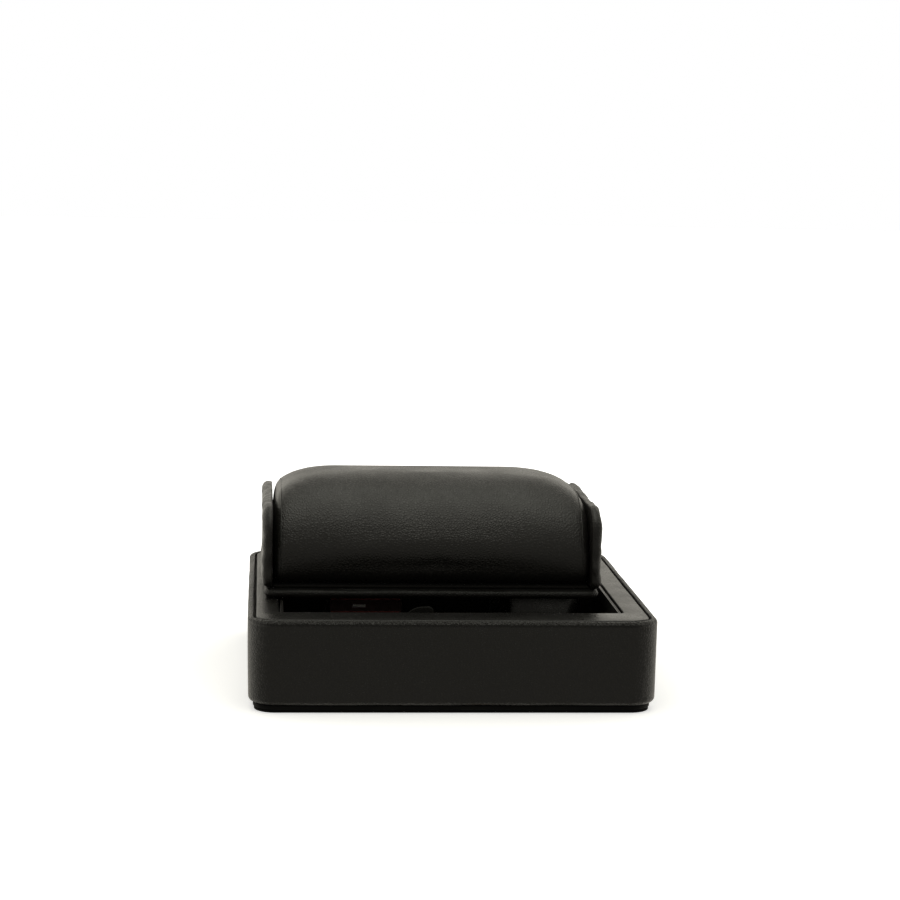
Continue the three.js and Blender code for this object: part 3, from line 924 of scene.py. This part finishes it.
def slice_loop(piece, x):
    """The points where a mesh crosses the plane at x, in order round it."""
    tools = bmesh.new()
    tools.from_mesh(piece.data)
    everything = tools.verts[:] + tools.edges[:] + tools.faces[:]
    cut = bmesh.ops.bisect_plane(tools, geom=everything, plane_co=(x, 0, 0), plane_no=(1, 0, 0))
    spots = [item.co.copy() for item in cut["geom_cut"] if isinstance(item, bmesh.types.BMVert)]
    tools.free()
    middle = sum(spots, Vector()) / len(spots)
    spots.sort(key=lambda spot: math.atan2(spot.z - middle.z, spot.y - middle.y))
    return spots


def round_cord(name, spots, radius, sides=6):
    """A closed round cord through the points of a loop that lies in a plane across X."""
    vertices = []
    faces = []
    count = len(spots)
    for i, spot in enumerate(spots):
        along = (spots[(i + 1) % count] - spots[i - 1]).normalized()
        side = Vector((1, 0, 0))
        out = along.cross(side).normalized()
        for k in range(sides):
            angle = 2 * math.pi * k / sides
            vertices.append(spot + radius * (math.cos(angle) * side + math.sin(angle) * out))
    for i in range(count):
        j = (i + 1) % count
        for k in range(sides):
            m = (k + 1) % sides
            faces.append((i * sides + k, i * sides + m, j * sides + m, j * sides + k))
    mesh = bpy.data.meshes.new(name)
    mesh.from_pydata([tuple(v) for v in vertices], [], faces)
    return finish_mesh(name, mesh)


def even_points(spots, step):
    """Points at an even step along a closed loop."""
    lengths = [(spots[(i + 1) % len(spots)] - spots[i]).length for i in range(len(spots))]
    total = sum(lengths)
    count = max(int(total / step), 8)
    result = []
    edge = 0
    passed = 0.0
    for i in range(count):
        goal = total * i / count
        while passed + lengths[edge] < goal:
            passed += lengths[edge]
            edge += 1
        share = (goal - passed) / lengths[edge]
        result.append(spots[edge].lerp(spots[(edge + 1) % len(spots)], share))
    return result


def make_seams(cushion, material):
    """A fine turned welt where each end panel is sewn in."""
    seam_x = {"left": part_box("cushion_end_left")[1][0], "right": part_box("cushion_end_right")[0][0]}
    for side, x in seam_x.items():
        points = even_points(slice_loop(cushion, x), step=1.2 * MM)
        welt = round_cord(f"cushion_welt_{side}", points, radius=0.24 * MM)
        dress(welt, "cushion", "leather", material)


END_PUFF = 0.2 * MM         # the soft ends press this much further towards the cheeks than the CAD solid


def make_cushion(material):
    low, high = corner_box("cushion_cover")
    low.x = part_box("cushion_end_left")[0][0] - END_PUFF
    high.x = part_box("cushion_end_right")[1][0] + END_PUFF
    cushion = cushion_form("cushion_skin", low + Vector((SNUG, 0.7 * SWELL, SNUG)),
                           high - Vector((SNUG, 0.7 * SWELL, 0.5 * SWELL)))
    remesh = cushion.modifiers.new("remesh", "REMESH")
    remesh.mode = "VOXEL"
    remesh.voxel_size = 1.6 * MM
    apply_modifiers(cushion)
    blow_up(cushion, pressure=4.0, cap=SWELL)
    smooth = cushion.modifiers.new("smooth", "SMOOTH")
    smooth.iterations = 4
    fine = cushion.modifiers.new("fine", "SUBSURF")
    fine.levels = 1
    fine.render_levels = 1
    apply_modifiers(cushion)
    rest_gap = 0.05 * MM         # between the cushion and the lining it lies on
    for vertex in cushion.data.vertices:
        vertex.co.z = min(max(vertex.co.z, low.z + rest_gap), high.z)
        vertex.co.x = min(max(vertex.co.x, low.x), high.x)
    cushion.data.shade_smooth()
    dress(cushion, "cushion", "leather", material,
          "cushion_cover", "cushion_end_left", "cushion_end_right", "cushion_foam")
    make_seams(cushion, material)


# ---------------------------------------------------------------- everything

def paint_cad(materials):
    """Gives each CAD solid that still shows the material of its slot."""
    slots = {entry["node"]: entry["material_slot"] for entry in frame["record"]["subparts"]}
    for node, slot in slots.items():
        thing = frame["nodes"][node]
        thing = thing if hasattr(thing, "data") else bpy.data.objects[node]
        for index in range(len(thing.material_slots)):
            thing.material_slots[index].material = materials[slot]


def main():
    make_camera()
    make_studio()
    make_floor()
    make_backdrop()
    rim_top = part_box("outer_leather")[1][2]
    base_leather = leather("leather_base", pebble_mm=0.75, depth_mm=0.08, gloss=0.35,
                           pleats_above=rim_top - 1.3 * MM)
    # painted shade: a darker copy of the black leather for the collar round the recess
    tray_leather = leather("leather_tray", pebble_mm=0.75, depth_mm=0.035, gloss=0.30,
                           colour=(0.0035, 0.0032, 0.0026), shine=0.34)
    # painted shade: a darker copy of the black leather for the risers down in the recess
    riser_leather = leather("leather_riser", pebble_mm=0.7, depth_mm=0.004, gloss=0.26,
                            colour=(0.006, 0.0055, 0.0045), shine=0.75)
    # painted shade: a darker copy of the black leather for the pull tab in the recess
    tab_leather = leather("leather_tab", pebble_mm=0.7, depth_mm=0.04, gloss=0.75,
                          colour=(0.006, 0.0056, 0.0048), shine=0.15)
    cradle_leather = leather("leather_cradle", pebble_mm=0.75, depth_mm=0.06, gloss=0.35)
    cushion_leather = leather("leather_cushion", pebble_mm=0.80, depth_mm=0.06, gloss=0.35)
    # painted shade: a darker copy of the black leather for the cradle board, whose lip lies under the
    # cushion
    lip_leather = leather("leather_lip", pebble_mm=0.75, depth_mm=0.07, gloss=0.42,
                          colour=(0.004, 0.0037, 0.003), shine=0.22)
    hem_leather = leather("leather_hem", pebble_mm=0.75, depth_mm=0.02, gloss=0.30)
    # painted shade: a darker copy of the black leather for the recess walls
    recess_shade_leather = leather("leather_recess_shade", pebble_mm=0.7, depth_mm=0.04, gloss=0.50,
                           colour=(0.005, 0.0047, 0.004))
    suede = cloth("suede", (0.0025, 0.0023, 0.002), sheen=0.03)
    felt = cloth("felt", (0.002, 0.002, 0.002), fibre_mm=0.4, depth_mm=0.12, sheen=0.03)
    fibreboard = board("fibreboard", (0.11, 0.065, 0.032), (0.20, 0.13, 0.07))
    greyboard = board("greyboard", (0.13, 0.125, 0.11), (0.24, 0.23, 0.21))
    foam = board("foam", (0.16, 0.155, 0.14), (0.30, 0.29, 0.26), speck_mm=1.1, roughness=0.95)
    # the foot board's black paint, made darker still as painted shade under the base's overhang
    painted = board("painted_board", (0.002, 0.002, 0.002), (0.004, 0.004, 0.004),
                    speck_mm=0.4, roughness=0.7)
    painted.node_tree.nodes["Principled BSDF"].inputs["Specular IOR Level"].default_value = 0.15
    red = ribbon("label_cloth", (0.012, 0.0010, 0.0010), (0.050, 0.0045, 0.0045))
    red_stripe = ribbon("label_stripe", (0.16, 0.018, 0.018), (0.42, 0.06, 0.06))
    silver = thread("silver_thread", (0.80, 0.80, 0.80))
    paint_cad({
        "leather": base_leather,
        "leather_dark": recess_shade_leather,
        "suede": suede,
        "felt": felt,
        "foam": foam,
        "fibreboard": fibreboard,
        "greyboard": greyboard,
        "painted_board": painted,
        "label_cloth": red,
    })
    make_shell(base_leather)
    make_foot(painted, felt)
    make_collar(tray_leather)
    make_liners(recess_shade_leather, hem_leather)
    make_floor_lining(suede)
    make_risers(riser_leather)
    make_label(red, red_stripe, silver)
    make_tab(tab_leather)
    make_cradle_board(lip_leather, suede)
    make_cheeks(cradle_leather)
    make_cushion(cushion_leather)


main()
